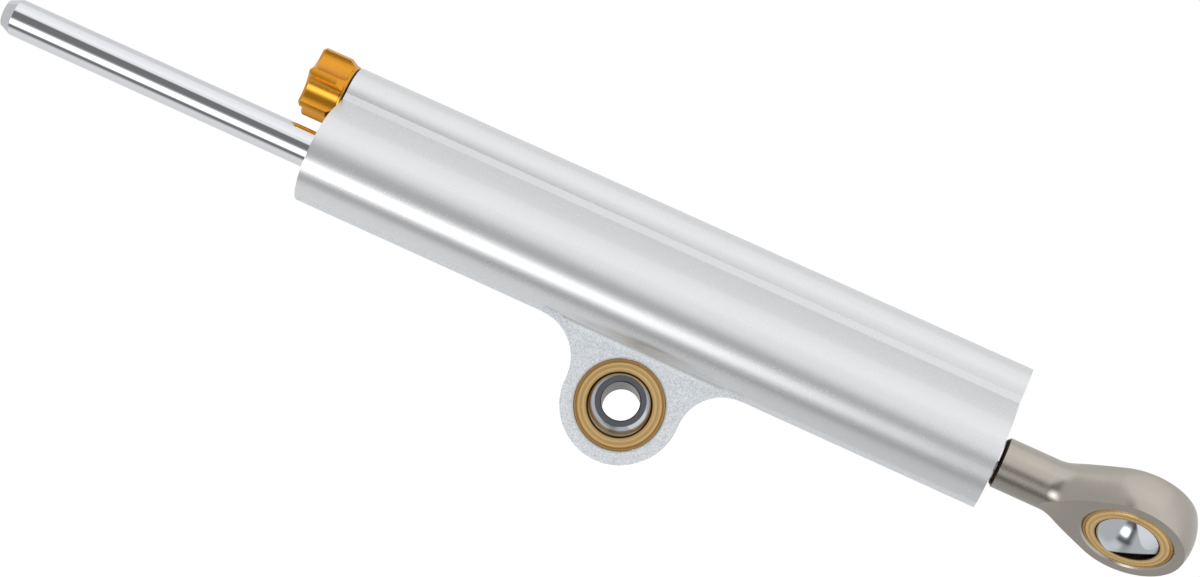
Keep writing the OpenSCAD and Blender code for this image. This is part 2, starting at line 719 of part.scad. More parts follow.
module needle_valve() {
    stem_s = spindle_flange_s + 3;
    collar_end = collar_s + collar_l;
    shoulder = needle_shoulder_x - tube_left;
    tip = needle_tip_x - tube_left;
    tip_r = orifice_d / 2 - 0.25;
    color("lightsteelblue") on_tube(tube_left) rotate_extrude()
        polygon([[0, stem_s], [stem_d / 2, stem_s], [stem_d / 2, collar_s],
            [collar_d / 2 - play, collar_s], [collar_d / 2 - play, collar_end],
            [needle_d / 2, collar_end], [needle_d / 2, shoulder], [tip_r, shoulder + 1],
            [tip_r, tip - 0.6], [0.2, tip], [0, tip]]);
}
module valve_seat() {
    mouth = needle_d / 2 + 0.3;
    color("burlywood") on_tube(seat_x) rotate_extrude()
        polygon([[mouth, 0], [tube_bore_d / 2 - play, 0], [tube_bore_d / 2 - play, seat_l],
            [orifice_d / 2, seat_l], [orifice_d / 2, mouth - orifice_d / 2]]);
}

// Compensator group
module compensator_piston() {
    color("slategray") on_tube(float_x) difference() {
        cylinder(d = tube_bore_d - 2 * play, h = float_l);
        translate([0, 0, float_l / 2 - 0.75]) sleeve(tube_bore_d + over, tube_bore_d - 2, 1.5);
        translate([0, 0, float_l - 1.2]) cylinder(d = tube_bore_d - 4, h = 2);
    }
}
module compensator_oring() {
    color("black") on_tube(float_x + float_l / 2)
        o_ring(tube_bore_d - 2 * play, tube_bore_d - 2 + play);
}
// Points of a ring of the spring's wire, at a turn t along the coil
function coil_ring(t, r, wire, rise) = [for (k = [0 : 7])
    let (a = k * 45, w = r + wire / 2 * cos(a))
    [w * cos(t), w * sin(t), rise * t / 360 + wire / 2 * sin(a)]];
module coil_spring(outer, wire, len, coils) {
    steps = coils * 16;
    r = (outer - wire) / 2;
    rise = (len - wire) / coils;
    rings = [for (i = [0 : steps]) coil_ring(i * 360 / 16, r, wire, rise)];
    points = [for (ring = rings) each ring];
    last = 8 * steps;
    faces = concat(
        [for (i = [0 : steps - 1], k = [0 : 7]) let (a = 8 * i + k, b = 8 * i + (k + 1) % 8)
            [a, a + 8, b + 8]],
        [for (i = [0 : steps - 1], k = [0 : 7]) let (a = 8 * i + k, b = 8 * i + (k + 1) % 8)
            [a, b + 8, b]],
        [[for (k = [0 : 7]) k]], [[for (k = [7 : -1 : 0]) last + k]]);
    translate([0, 0, wire / 2]) polyhedron(points = points, faces = faces);
}
module compensator_spring() {
    color("gray") on_tube(spring_x)
        coil_spring(tube_bore_d - 2 * clear_gap, float_wire, float_spring_l, float_coils);
}
module tube_plug() {
    color("dimgray") into_tube() translate([0, 0, plug_recess]) difference() {
        cylinder(d = tube_seat_d - 2 * play, h = plug_l);
        translate([0, 0, plug_l - 3]) sleeve(tube_seat_d + over, tube_seat_d - 2, 1.6);
        translate([0, 0, -over]) cylinder(d = screw_d + 2 * play, h = plug_l + 2 * over);
    }
}
module plug_oring() {
    color("black") into_tube() translate([0, 0, plug_recess + plug_l - 2.2])
        o_ring(tube_seat_d - play, tube_seat_d - 2 + play);
}
module plug_clip() {
    color("dimgray") into_tube() translate([0, 0, plug_recess - plug_clip_t])
        bore_clip(tube_seat_d + 2 * clip_groove - 2 * play, 0.9, 0.8, plug_clip_t);
}
module bleed_washer() {
    color("peru") into_tube() translate([0, 0, plug_recess - 0.4])
        sleeve(screw_d * 2, screw_d + 2 * play, 0.4);
}
module bleed_screw() {
    head_h = 1.3;
    color("silver") into_tube() translate([0, 0, plug_recess - 0.4]) difference() {
        union() {
            translate([0, 0, -head_h]) cylinder(d = screw_d * 1.8, h = head_h);
            cylinder(d = screw_d, h = plug_l - 2 * clear_gap);
        }
        translate([0, 0, -head_h - 1]) cylinder(d = 1.5 / cos(30), h = 2, $fn = 6);
    }
}

housing();
piston_rod();
rod_end();
rod_end_race();
rod_end_ball();
frame_race();
frame_ball();
adjuster_knob();
knob_seal();
knob_screw();
adjuster_spindle();
detent_balls();
detent_springs();
adjuster_cartridge();
cartridge_oring();
spindle_oring();
spindle_clip();
needle_valve();
valve_seat();
gland_left();
gland_right();
gland_clip_left();
gland_clip_right();
gland_oring_left();
gland_oring_right();
rod_seal_left();
rod_seal_right();
rod_wiper_left();
rod_wiper_right();
rod_bush_left();
rod_bush_right();
bump_stop_left();
bump_stop_right();
piston();
piston_ring();
piston_oring();
piston_clips();
compensator_piston();
compensator_oring();
compensator_spring();
tube_plug();
plug_oring();
plug_clip();
bleed_screw();
bleed_washer();
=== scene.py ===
# Linear steering damper on a pale studio floor, seen from the photograph's side. Metres, in the
# frame of the solids: X along the rod, Y away from the camera, Z from the lug up to the rod.
import math

import bpy
from mathutils import Matrix, Vector


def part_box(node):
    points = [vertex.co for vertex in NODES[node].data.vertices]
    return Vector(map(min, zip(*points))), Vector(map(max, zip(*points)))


bl_info = {
    "name": "Steering Damper",
    "version": (1, 0, 0),
    "blender": (4, 5, 0),
    "location": "View3D > Sidebar > Damper",
    "description": "Dresses a linear steering damper and lights it in a small studio",
    "category": "Object",
}

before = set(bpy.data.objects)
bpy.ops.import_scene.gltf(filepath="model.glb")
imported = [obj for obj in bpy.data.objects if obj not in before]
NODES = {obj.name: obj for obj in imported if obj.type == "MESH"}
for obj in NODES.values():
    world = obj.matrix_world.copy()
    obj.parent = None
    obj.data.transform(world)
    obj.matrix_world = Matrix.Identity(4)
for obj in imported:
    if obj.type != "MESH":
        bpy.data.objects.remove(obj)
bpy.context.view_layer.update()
MM = 0.001


def middle(name):
    """Centre of a solid's box at rest."""
    low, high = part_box(name)
    return Vector([(a + b) / 2 for a, b in zip(low, high)])


# Bearings: the lug's is centred on the origin, and each ball's axis is its bolt hole's at rest
LUG = Vector((0, 0, 0))
EYE = middle("rod_end_race")
LUG_TURN = math.radians(90)
EYE_TURN = math.radians(146.8)
LUG_BALL_AXIS = Vector((0, -0.98902, 0.14781))
EYE_BALL_AXIS = Vector((0.35944, 0.02645, -0.93279))
BALL_HALF_WIDTH = 6 * MM
BALL_BORE_R = 4.1 * MM
# Radius of the races' spherical bores; the bronze inside it gets painted shade
RACE_BORE_R = 8.1 * MM
# Height at which the lug's flat faces run out into the main tube
LUG_TOP = 13 * MM
# Camera, fitted to the rims of both bearings and to the tubes' edges
CAMERA_AT = Vector((0.03951, -0.61111, 0.02045))
CAMERA_RIGHT = Vector((0.9075, 0.0803, 0.4123))
CAMERA_DOWN = Vector((0.4107, 0.0358, -0.9110))
CAMERA_AHEAD = Vector((-0.0879, 0.9961, -0.0005))
AIM_RIGHT = 0.000741
AIM_DOWN = 0.000438


class DamperFinish(bpy.types.PropertyGroup):
    """Colours and surface sizes of the damper's finishes."""

    body_colour: bpy.props.StringProperty(
        name="Body colour", description="Clear anodised aluminium", default="#DCDDDF")
    # Lug shade and lug sparkle make the lug's random blast grain: painted shade in its pits, painted
    # glints on its facets
    lug_shade_colour: bpy.props.StringProperty(
        name="Lug shade", description="Pits of the lug's coarse blasting", default="#C9CFD6")
    lug_spark_colour: bpy.props.StringProperty(
        name="Lug sparkle", description="Facets of the lug's coarse blasting", default="#F2F5F8")
    shot_size: bpy.props.FloatProperty(
        name="Shot size", description="Pits that the blasting leaves in the body",
        default=0.28 * MM, unit="LENGTH")
    gold_colour: bpy.props.StringProperty(
        name="Knob colour", description="Orange-gold anodised aluminium", default="#DE9614")
    chrome_colour: bpy.props.StringProperty(
        name="Chrome colour", description="Hard chrome on the rod", default="#D8D9DD")
    nickel_colour: bpy.props.StringProperty(
        name="Nickel colour", description="Satin nickel on the rod end", default="#B4AEA5")
    # A brown ring of painted reflection where the shank meets the rod
    shank_reflection_colour: bpy.props.StringProperty(
        name="Collar colour", description="Thread lock where shank and rod meet", default="#A8754A")
    bronze_colour: bpy.props.StringProperty(
        name="Bronze colour", description="Turned bearing bronze", default="#E6C184")
    # Dark brown painted shade over the races' bores round the balls
    race_shade_colour: bpy.props.StringProperty(
        name="Liner colour", description="Woven liner between race and ball", default="#4A3620")
    ball_colour: bpy.props.StringProperty(
        name="Ball colour", description="Polished bearing steel", default="#C2C6CB")
    rubber_colour: bpy.props.StringProperty(
        name="Rubber colour", description="Nitrile seals", default="#141414")
    # A brown band of painted shade round the lug's ball near each end face
    ball_shade_band_colour: bpy.props.StringProperty(
        name="Rubbed colour", description="Band that the liner browns on the lug's ball",
        default="#8A7358")
    # Painted dark reflection on the balls' ground end faces
    ball_face_reflection_colour: bpy.props.StringProperty(
        name="Ball face colour", description="Ground end faces of the balls", default="#63666B")
    # Painted shade in the balls' bolt holes
    ball_bore_shade_colour: bpy.props.StringProperty(
        name="Ball bore colour", description="Honed bolt holes of the balls", default="#453F3A")


class DamperStage(bpy.types.PropertyGroup):
    """Sizes and levels of the studio."""

    floor_drop: bpy.props.FloatProperty(
        name="Floor drop", description="Height of the lug's bearing above the floor",
        default=0.12, unit="LENGTH")
    floor_size: bpy.props.FloatProperty(
        name="Floor size", description="Side of the floor", default=12.0, unit="LENGTH")
    floor_colour: bpy.props.StringProperty(
        name="Floor colour", description="White paper", default="#F2F2F0")
    lens: bpy.props.FloatProperty(
        name="Lens", description="Focal length of the camera", default=89.05, subtype="DISTANCE_CAMERA")
    room_level: bpy.props.FloatProperty(
        name="Room level", description="Brightness of the studio's walls", default=1.0)


def linear(colour):
    """sRGB hex to linear RGBA."""
    out = []
    for k in (1, 3, 5):
        c = int(colour[k:k + 2], 16) / 255
        out.append(c / 12.92 if c <= 0.04045 else ((c + 0.055) / 1.055) ** 2.4)
    return (*out, 1.0)


def add(tree, kind, values=None, links=None, **settings):
    """Adds a shader node with its settings, socket values and incoming links."""
    made = tree.nodes.new(kind)
    for name, value in settings.items():
        setattr(made, name, value)
    for socket, value in (values or {}).items():
        made.inputs[socket].default_value = value
    for socket, source in (links or {}).items():
        tree.links.new(source, made.inputs[socket])
    return made


def new_material(name):
    made = bpy.data.materials.new(name)
    made.use_nodes = True
    made.node_tree.nodes.clear()
    return made, made.node_tree


def finish_with(tree, shader):
    add(tree, "ShaderNodeOutputMaterial", links={"Surface": shader.outputs[0]})


def ramp(tree, factor, stops):
    """Colour by position, from a list of places between 0 and 1 with their linear colours."""
    made = add(tree, "ShaderNodeValToRGB", links={0: factor})
    elements = made.color_ramp.elements
    while len(elements) < len(stops):
        elements.new(0.5)
    for element, (at, colour) in zip(elements, stops):
        element.position = at
        element.color = colour
    return made.outputs["Color"]


def blend(tree, factor, first, second):
    """Mix of two colours, each a linear RGBA value or an outgoing socket."""
    made = add(tree, "ShaderNodeMix", links={"Factor": factor}, data_type="RGBA")
    for socket, source in ((6, first), (7, second)):
        if isinstance(source, tuple):
            made.inputs[socket].default_value = source
        else:
            tree.links.new(source, made.inputs[socket])
    return made.outputs[2]


def between(tree, factor, first, second):
    """Mix of two values by a factor of 0 to 1."""
    scaled = add(tree, "ShaderNodeMapRange", {"To Min": first, "To Max": second}, {"Value": factor})
    return scaled.outputs[0]


def darker(colour, share):
    """A share of a linear colour's light."""
    return (*(c * share for c in colour[:3]), 1.0)


def place(tree, at=(0, 0, 0), turn=(0, 0, 0)):
    """Coordinates in metres from a point, in turned axes."""
    where = add(tree, "ShaderNodeTexCoord")
    return add(tree, "ShaderNodeMapping", {"Location": at, "Rotation": turn},
               {"Vector": where.outputs["Object"]}, vector_type="TEXTURE").outputs[0]


def blasted_anodised_aluminium(name, colour, shade, spark, shot, lug_half):
    """Clear anodised aluminium in two finishes. The tubes are turned, then blasted fine, and reflect
    softly with faint streaks along them. The lug's flat faces are blasted coarse, their colour a random
    grain with painted shade in its pits and painted glints on its facets."""
    made, tree = new_material(name)
    where = place(tree)
    axes = add(tree, "ShaderNodeSeparateXYZ", links={0: where})
    aside = add(tree, "ShaderNodeMath", links={0: axes.outputs["Y"]}, operation="ABSOLUTE")
    within = add(tree, "ShaderNodeMapRange",
                 {"From Min": lug_half, "From Max": lug_half + 0.4 * MM, "To Min": 1.0, "To Max": 0.0},
                 {"Value": aside.outputs[0]})
    below = add(tree, "ShaderNodeMapRange",
                {"From Min": LUG_TOP - 1.5 * MM, "From Max": LUG_TOP, "To Min": 1.0, "To Max": 0.0},
                {"Value": axes.outputs["Z"]})
    lug = add(tree, "ShaderNodeMath", links={0: within.outputs[0], 1: below.outputs[0]},
              operation="MULTIPLY").outputs[0]
    pits = add(tree, "ShaderNodeTexNoise", {"Scale": 1 / shot, "Detail": 3.0, "Roughness": 0.6},
               {"Vector": where})
    along = add(tree, "ShaderNodeVectorMath", {1: (1 / (60 * MM), 1 / (0.4 * MM), 1 / (0.4 * MM))},
                {0: where}, operation="MULTIPLY")
    streaks = add(tree, "ShaderNodeTexNoise", {"Scale": 1.0, "Detail": 2.0},
                  {"Vector": along.outputs[0]})
    clouds = add(tree, "ShaderNodeTexNoise", {"Scale": 1 / (9 * MM), "Detail": 2.0},
                 {"Vector": where})
    base = linear(colour)
    tubes = blend(tree, clouds.outputs["Fac"], darker(base, 0.965), base)
    # Painted glints and painted shade: the lug's random grain between its two colours
    sparkle = add(tree, "ShaderNodeMapRange", {"From Min": 0.35, "From Max": 0.65},
                  {"Value": pits.outputs["Fac"]})
    flats = blend(tree, sparkle.outputs[0], linear(shade), linear(spark))
    tone = blend(tree, lug, tubes, flats)
    satin = add(tree, "ShaderNodeMath", {1: 0.04, 2: 0.21}, {0: streaks.outputs["Fac"]},
                operation="MULTIPLY_ADD")
    fine = add(tree, "ShaderNodeMath", {1: 0.06}, {0: pits.outputs["Fac"], 2: satin.outputs[0]},
               operation="MULTIPLY_ADD")
    gloss = add(tree, "ShaderNodeMath", {1: 0.24}, {0: lug, 2: fine.outputs[0]},
                operation="MULTIPLY_ADD")
    bump = add(tree, "ShaderNodeBump", {"Distance": 0.03 * MM},
               {"Height": pits.outputs["Fac"], "Strength": between(tree, lug, 0.3, 0.9)})
    finish_with(tree, add(
        tree, "ShaderNodeBsdfPrincipled",
        links={"Base Color": tone, "Roughness": gloss.outputs[0], "Normal": bump.outputs[0],
               "Metallic": between(tree, lug, 0.6, 0.3)}))
    return made


def hard_chrome(name, colour):
    """Ground and polished hard chrome: a mirror with the faintest rings from the grinding."""
    made, tree = new_material(name)
    where = place(tree)
    rings = add(tree, "ShaderNodeVectorMath", {1: (1 / (0.35 * MM), 1 / (6 * MM), 1 / (6 * MM))},
                {0: where}, operation="MULTIPLY")
    grind = add(tree, "ShaderNodeTexNoise", {"Scale": 1.0, "Detail": 1.0}, {"Vector": rings.outputs[0]})
    bump = add(tree, "ShaderNodeBump", {"Strength": 0.05, "Distance": 0.004 * MM},
               {"Height": grind.outputs["Fac"]})
    finish_with(tree, add(
        tree, "ShaderNodeBsdfPrincipled",
        {"Metallic": 1.0, "Base Color": linear(colour), "Roughness": 0.045},
        {"Normal": bump.outputs[0]}))
    return made


def satin_nickel(name, colour, shank_reflection_colour, at, turn, reflection_ring_end):
    """Satin nickel on forged steel: warm grey, brushed across the flats, softly reflecting, with a
    brown ring of painted reflection where the shank meets the rod."""
    made, tree = new_material(name)
    where = place(tree, at, turn)
    stretched = add(tree, "ShaderNodeVectorMath",
                    {1: (1 / (0.25 * MM), 1 / (3 * MM), 1 / (0.25 * MM))},
                    {0: where}, operation="MULTIPLY")
    brush = add(tree, "ShaderNodeTexNoise", {"Scale": 1.0, "Detail": 3.0, "Roughness": 0.65},
                {"Vector": stretched.outputs[0]})
    stain = add(tree, "ShaderNodeTexNoise", {"Scale": 1 / (5 * MM), "Detail": 2.0}, {"Vector": where})
    base = linear(colour)
    metal = blend(tree, stain.outputs["Fac"], darker(base, 0.9), base)
    axes = add(tree, "ShaderNodeSeparateXYZ", links={0: place(tree)})
    # Painted reflection: a brown ring at the shank's end, where it meets the rod
    reflection_ring = add(tree, "ShaderNodeMapRange",
                 {"From Min": reflection_ring_end, "From Max": reflection_ring_end + 0.2 * MM, "To Min": 1.0,
                  "To Max": 0.0}, {"Value": axes.outputs["X"]})
    tone = blend(tree, reflection_ring.outputs[0], metal, linear(shank_reflection_colour))
    gloss = add(tree, "ShaderNodeMapRange", {"To Min": 0.2, "To Max": 0.34},
                {"Value": brush.outputs["Fac"]})
    bump = add(tree, "ShaderNodeBump", {"Strength": 0.16, "Distance": 0.012 * MM},
               {"Height": brush.outputs["Fac"]})
    finish_with(tree, add(
        tree, "ShaderNodeBsdfPrincipled", {"Metallic": 1.0},
        {"Base Color": tone, "Roughness": gloss.outputs[0],
         "Normal": bump.outputs[0]}))
    return made


def turned_bronze(name, colour, race_shade, at, turn, race_bore_r):
    """Bearing bronze, faced on a lathe: fine concentric lines, with dark brown painted shade over the bore
    where the ball runs and painted shade in a thin band along the outer rim.
    """
    made, tree = new_material(name)
    where = place(tree, at, turn)
    flat = add(tree, "ShaderNodeVectorMath", {1: (1, 1, 0)}, {0: where}, operation="MULTIPLY")
    radius = add(tree, "ShaderNodeVectorMath", links={0: flat.outputs[0]}, operation="LENGTH")
    lines = add(tree, "ShaderNodeTexNoise", {"Scale": 1 / (0.22 * MM), "Detail": 2.0},
                {"W": radius.outputs["Value"]}, noise_dimensions="1D")
    rings = add(tree, "ShaderNodeTexNoise", {"Scale": 1 / (0.55 * MM), "Detail": 2.0},
                {"W": radius.outputs["Value"]}, noise_dimensions="1D")
    worn = add(tree, "ShaderNodeMapRange", {"From Min": 0.3, "From Max": 0.7},
               {"Value": rings.outputs["Fac"]})
    base = linear(colour)
    bright = blend(tree, worn.outputs[0], darker(base, 0.7), base)
    # Painted shade in a thin band along the race's outer rim
    painted_rim_shade = add(tree, "ShaderNodeMapRange",
               {"From Min": race_bore_r + 0.95 * MM, "From Max": race_bore_r + 1.15 * MM},
               {"Value": radius.outputs["Value"]})
    tone = blend(tree, painted_rim_shade.outputs[0], bright, darker(base, 0.55))
    depth = add(tree, "ShaderNodeVectorMath", links={0: where}, operation="LENGTH")
    # Painted shade: dark brown over the bore round the ball
    painted_race_shade = add(tree, "ShaderNodeMapRange",
                {"From Min": race_bore_r, "From Max": race_bore_r + 0.15 * MM, "To Min": 1.0, "To Max": 0.0},
                {"Value": depth.outputs["Value"]})
    both = blend(tree, painted_race_shade.outputs[0], tone, linear(race_shade))
    gloss = add(tree, "ShaderNodeMapRange", {"To Min": 0.32, "To Max": 0.46},
                {"Value": lines.outputs["Fac"]})
    bump = add(tree, "ShaderNodeBump", {"Strength": 0.9, "Distance": 0.025 * MM},
               {"Height": lines.outputs["Fac"]})
    finish_with(tree, add(
        tree, "ShaderNodeBsdfPrincipled", {"Metallic": 0.72},
        {"Base Color": both, "Roughness": gloss.outputs[0],
         "Normal": bump.outputs[0]}))
    return made


def bearing_steel(name, colour, shade_band, face_reflection, bore_shade, half_width, bore_r, at, axis):
    """Polished bearing steel: a cool mirror with a trace of handling, with painted shade in a band
    round the ball near each end face (brown on the lug's ball), ground end faces with a painted dark
    reflection, and a honed bolt hole darkened with painted shade."""
    made, tree = new_material(name)
    turn = Vector(axis).to_track_quat("Z", "X").to_euler()
    where = place(tree, at, turn)
    smear = add(tree, "ShaderNodeTexNoise", {"Scale": 1 / (4 * MM), "Detail": 4.0}, {"Vector": where})
    axes = add(tree, "ShaderNodeSeparateXYZ", links={0: where})
    aside = add(tree, "ShaderNodeMath", links={0: axes.outputs["Z"]}, operation="ABSOLUTE")
    share = add(tree, "ShaderNodeMath", {1: half_width}, {0: aside.outputs[0]}, operation="DIVIDE")
    steel = linear(colour)
    # Painted shade in a band round the ball near each end face, and a painted dark reflection on the end
    # faces
    zones = ramp(tree, share.outputs[0], [
        (0.0, steel), (0.68, steel), (0.74, linear(shade_band)), (0.82, linear(shade_band)),
        (0.88, steel), (0.975, steel), (0.985, linear(face_reflection))])
    flat = add(tree, "ShaderNodeVectorMath", {1: (1, 1, 0)}, {0: where}, operation="MULTIPLY")
    radius = add(tree, "ShaderNodeVectorMath", links={0: flat.outputs[0]}, operation="LENGTH")
    inside = add(tree, "ShaderNodeMapRange",
                 {"From Min": bore_r, "From Max": bore_r + 0.1 * MM, "To Min": 1.0, "To Max": 0.0},
                 {"Value": radius.outputs["Value"]})
    # Painted shade: dark brown inside the bolt hole
    tone = blend(tree, inside.outputs[0], zones, linear(bore_shade))
    ground = add(tree, "ShaderNodeMath", {1: 0.98}, {0: share.outputs[0]}, operation="GREATER_THAN")
    cut = add(tree, "ShaderNodeMath", links={0: ground.outputs[0], 1: inside.outputs[0]},
              operation="MAXIMUM")
    shine = add(tree, "ShaderNodeMath", {1: 0.07, 2: 0.04}, {0: smear.outputs["Fac"]},
                operation="MULTIPLY_ADD")
    gloss = add(tree, "ShaderNodeMath", {1: 0.24}, {0: cut.outputs[0], 2: shine.outputs[0]},
                operation="MULTIPLY_ADD")
    finish_with(tree, add(
        tree, "ShaderNodeBsdfPrincipled", {"Metallic": 1.0},
        {"Base Color": tone, "Roughness": gloss.outputs[0]}))
    return made


def gold_anodised_aluminium(name, colour, at):
    """Turned and milled aluminium, dyed and sealed: a glossy orange-gold with lines along the cuts."""
    made, tree = new_material(name)
    where = place(tree, at)
    stretched = add(tree, "ShaderNodeVectorMath",
                    {1: (1 / (4 * MM), 1 / (0.3 * MM), 1 / (0.3 * MM))},
                    {0: where}, operation="MULTIPLY")
    cuts = add(tree, "ShaderNodeTexNoise", {"Scale": 1.0, "Detail": 2.0}, {"Vector": stretched.outputs[0]})
    clouds = add(tree, "ShaderNodeTexNoise", {"Scale": 1 / (2.5 * MM), "Detail": 3.0}, {"Vector": where})
    base = linear(colour)
    tone = blend(tree, clouds.outputs["Fac"], darker(base, 0.9), base)
    gloss = add(tree, "ShaderNodeMapRange", {"To Min": 0.16, "To Max": 0.24},
                {"Value": cuts.outputs["Fac"]})
    bump = add(tree, "ShaderNodeBump", {"Strength": 0.15, "Distance": 0.01 * MM},
               {"Height": cuts.outputs["Fac"]})
    finish_with(tree, add(
        tree, "ShaderNodeBsdfPrincipled",
        {"Metallic": 0.72, "Coat Weight": 0.3, "Coat Roughness": 0.08},
        {"Base Color": tone, "Roughness": gloss.outputs[0],
         "Normal": bump.outputs[0]}))
    return made


def matte_solid(name, colour, metallic, rough, grain):
    """Small turned, stamped or moulded pieces: even colour with a fine grain in the gloss."""
    made, tree = new_material(name)
    where = place(tree)
    speck = add(tree, "ShaderNodeTexNoise", {"Scale": 1 / grain, "Detail": 3.0}, {"Vector": where})
    base = linear(colour)
    tone = blend(tree, speck.outputs["Fac"], darker(base, 0.85), base)
    gloss = add(tree, "ShaderNodeMapRange", {"To Min": rough - 0.06, "To Max": rough + 0.06},
                {"Value": speck.outputs["Fac"]})
    bump = add(tree, "ShaderNodeBump", {"Strength": 0.2, "Distance": 0.01 * MM},
               {"Height": speck.outputs["Fac"]})
    finish_with(tree, add(
        tree, "ShaderNodeBsdfPrincipled", {"Metallic": metallic},
        {"Base Color": tone, "Roughness": gloss.outputs[0],
         "Normal": bump.outputs[0]}))
    return made


def dress(material, *names):
    """Gives solids of the frame their material."""
    for name in names:
        mesh = NODES[name].data
        mesh.materials.clear()
        mesh.materials.append(material)


class DAMPER_OT_body(bpy.types.Operator):
    """Main tube, adjuster tube and lug"""

    bl_idname = "damper.body"
    bl_label = "Body"

    def execute(self, context):
        look = context.scene.damper_finish
        race_low, race_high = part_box("frame_race")
        lug_half = (race_high[1] - race_low[1]) / 2 + 0.25 * MM
        dress(blasted_anodised_aluminium(
            "Blasted anodised aluminium", look.body_colour, look.lug_shade_colour,
            look.lug_spark_colour, look.shot_size, lug_half), "housing")
        return {"FINISHED"}


class DAMPER_OT_rod(bpy.types.Operator):
    """Chromed rod and the rod end on it"""

    bl_idname = "damper.rod"
    bl_label = "Rod"

    def execute(self, context):
        look = context.scene.damper_finish
        dress(hard_chrome("Hard chrome", look.chrome_colour), "piston_rod")
        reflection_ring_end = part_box("rod_end")[0][0] + 0.3 * MM
        dress(satin_nickel("Satin nickel", look.nickel_colour, look.shank_reflection_colour, EYE,
                           (EYE_TURN, 0, 0), reflection_ring_end), "rod_end")
        return {"FINISHED"}


class DAMPER_OT_bearings(bpy.types.Operator):
    """Races and balls of the two spherical bearings"""

    bl_idname = "damper.bearings"
    bl_label = "Bearings"

    def execute(self, context):
        look = context.scene.damper_finish
        for name, at, turn in (("frame_race", LUG, LUG_TURN), ("rod_end_race", EYE, EYE_TURN)):
            dress(turned_bronze("Turned bronze " + name, look.bronze_colour, look.race_shade_colour, at,
                                (turn, 0, 0), RACE_BORE_R), name)
        for name, shade_band, at, axis in (("frame_ball", look.ball_shade_band_colour, LUG, LUG_BALL_AXIS),
                                       ("rod_end_ball", look.ball_colour, EYE, EYE_BALL_AXIS)):
            dress(bearing_steel("Bearing steel " + name, look.ball_colour, shade_band,
                                look.ball_face_reflection_colour,
                                look.ball_bore_shade_colour, BALL_HALF_WIDTH, BALL_BORE_R, at, axis), name)
        dress(matte_solid("Polished steel", look.ball_colour, 1.0, 0.14, 1 * MM), "detent_balls")
        return {"FINISHED"}


class DAMPER_OT_knob(bpy.types.Operator):
    """Fluted knob"""

    bl_idname = "damper.knob"
    bl_label = "Knob"

    def execute(self, context):
        look = context.scene.damper_finish
        dress(gold_anodised_aluminium("Gold anodised aluminium", look.gold_colour,
                                      middle("adjuster_knob")), "adjuster_knob")
        return {"FINISHED"}


class DAMPER_OT_seals(bpy.types.Operator):
    """Rubber seals, wipers and O-rings"""

    bl_idname = "damper.seals"
    bl_label = "Seals"

    def execute(self, context):
        look = context.scene.damper_finish
        dress(matte_solid("Nitrile rubber", look.rubber_colour, 0.0, 0.5, 0.3 * MM),
              *(n for n in NODES if n.endswith("oring") or "_oring_" in n or "seal" in n
                or "wiper" in n))
        return {"FINISHED"}


class DAMPER_OT_inner_parts(bpy.types.Operator):
    """Glands, clips, springs, valve parts and pistons inside the tubes"""

    bl_idname = "damper.inner_parts"
    bl_label = "Inner parts"

    def execute(self, context):
        steel = matte_solid("Zinc plated steel", "#8C8E90", 1.0, 0.32, 0.5 * MM)
        dress(steel, "knob_screw", "adjuster_spindle", "spindle_clip", "gland_clip_left",
              "gland_clip_right", "plug_clip", "piston_clips", "bleed_screw")
        dress(matte_solid("Spring steel", "#7C7F83", 1.0, 0.3, 0.4 * MM), "detent_springs",
              "compensator_spring")
        dress(matte_solid("Turned aluminium", "#8F9296", 1.0, 0.3, 0.4 * MM), "gland_left",
              "gland_right", "tube_plug", "piston", "compensator_piston", "needle_valve")
        dress(matte_solid("Turned brass", "#C2A35A", 1.0, 0.28, 0.4 * MM), "adjuster_cartridge",
              "valve_seat")
        dress(matte_solid("Sintered bronze", "#B08A50", 1.0, 0.45, 0.2 * MM), "rod_bush_left",
              "rod_bush_right")
        dress(matte_solid("Annealed copper", "#B87349", 1.0, 0.35, 0.4 * MM), "bleed_washer")
        dress(matte_solid("Filled polymer", "#7A4A2C", 0.0, 0.5, 0.3 * MM), "piston_ring",
              "bump_stop_left", "bump_stop_right")
        return {"FINISHED"}


def softbox(name, at, aim, size, power, colour="#FFFFFF"):
    data = bpy.data.lights.new(name, "AREA")
    data.shape = "RECTANGLE"
    data.size, data.size_y = size
    data.energy = power
    data.color = linear(colour)[:3]
    lamp = bpy.data.objects.new(name, data)
    bpy.context.scene.collection.objects.link(lamp)
    lamp.location = at
    lamp.rotation_euler = (Vector(aim) - Vector(at)).to_track_quat("-Z", "Y").to_euler()
    return lamp


